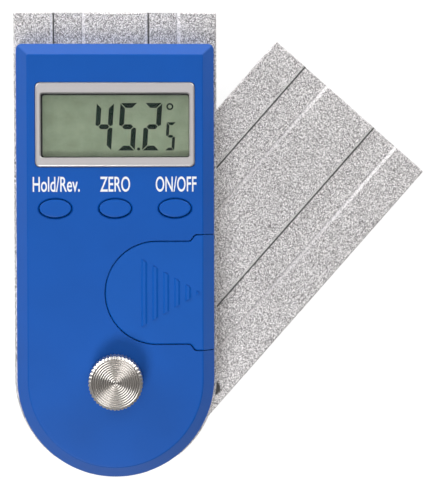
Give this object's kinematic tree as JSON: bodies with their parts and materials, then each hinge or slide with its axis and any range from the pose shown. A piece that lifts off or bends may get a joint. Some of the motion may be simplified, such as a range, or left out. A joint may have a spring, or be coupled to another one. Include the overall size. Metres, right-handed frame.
{
  "type": "digital protractor",
  "caption": "Digital protractor with two channelled steel blades on one pivot, a moulded display housing with push buttons and battery cover, and a knurled clamp knob.",
  "frame": {"origin": "on the pivot's axis, in the plane of the lower blade's back", "axes": "+Z from the blades' back towards the display and the knob, +Y along the housing towards its display end, +X to the right of the display"},
  "size_m": [0.1033, 0.115, 0.0364],
  "materials": {
    "blade_steel": "bead blasted, grainy satin",
    "turned_steel": "turned, bright",
    "screw_steel": "plated, satin",
    "knob_nickel": "turned and nickel plated",
    "magnet": "dark plated",
    "bronze": "sintered bronze",
    "board": "green solder mask",
    "epoxy": "black epoxy",
    "silicone": "grey silicone",
    "holder_white": "moulded",
    "lcd": "reflective liquid crystal display",
    "clear_lens": "clear, gloss",
    "bezel_silver": "silver painted satin",
    "housing_blue": "fine spark-eroded satin",
    "cover_blue": "fine spark-eroded satin",
    "button_blue": "satin"
  },
  "bodies": {
    "housing": {"upper_blade": "blade_steel", "front_housing": "housing_blue", "display_bezel": "bezel_silver", "display_window": "clear_lens", "lcd_panel": "lcd", "display_holder": "holder_white", "lcd_connector": "silicone", "circuit_board": "board", "controller_chip": "epoxy", "timing_crystal": "screw_steel", "capacitors": "epoxy", "button_pad": "silicone", "coin_cell": "turned_steel", "positive_contact": "screw_steel", "negative_contact": "screw_steel", "board_screws": "screw_steel", "housing_screws": "screw_steel", "pivot_bush": "bronze", "clamp_washer": "screw_steel"},
    "lower_blade": {"lower_blade": "blade_steel", "pivot_stud": "turned_steel", "stud_screws": "screw_steel", "blade_magnets": "magnet", "retaining_ring": "screw_steel", "disc_spring": "screw_steel", "rotor_disc": "board", "rotor_nut": "screw_steel"},
    "clamp_knob": {"clamp_knob": "knob_nickel"},
    "battery_cover": {"battery_cover": "cover_blue"},
    "button_hold": {"button_hold": "button_blue"},
    "button_zero": {"button_zero": "button_blue"},
    "button_power": {"button_power": "button_blue"}
  },
  "joints": [
    {"name": "blade_swing", "type": "hinge", "parent": "housing", "child": "lower_blade", "pos_m": [0, 0, 0.0102], "axis": [0, 0, 1], "continuous": true},
    {"name": "knob_turn", "type": "hinge", "parent": "lower_blade", "child": "clamp_knob", "pos_m": [0, 0, 0.0319], "axis": [0, 0, 1], "range_deg": [0, 270]},
    {"name": "cover_slide", "type": "slide", "parent": "housing", "child": "battery_cover", "axis": [1, 0, 0], "range_m": [0, 0.027]},
    {"name": "hold_press", "type": "slide", "parent": "housing", "child": "button_hold", "axis": [0, 0, -1], "range_m": [0, 0.0005], "stiffness_N_per_m": 2000},
    {"name": "zero_press", "type": "slide", "parent": "housing", "child": "button_zero", "axis": [0, 0, -1], "range_m": [0, 0.0005], "stiffness_N_per_m": 2000},
    {"name": "power_press", "type": "slide", "parent": "housing", "child": "button_power", "axis": [0, 0, -1], "range_m": [0, 0.0005], "stiffness_N_per_m": 2000}
  ]
}
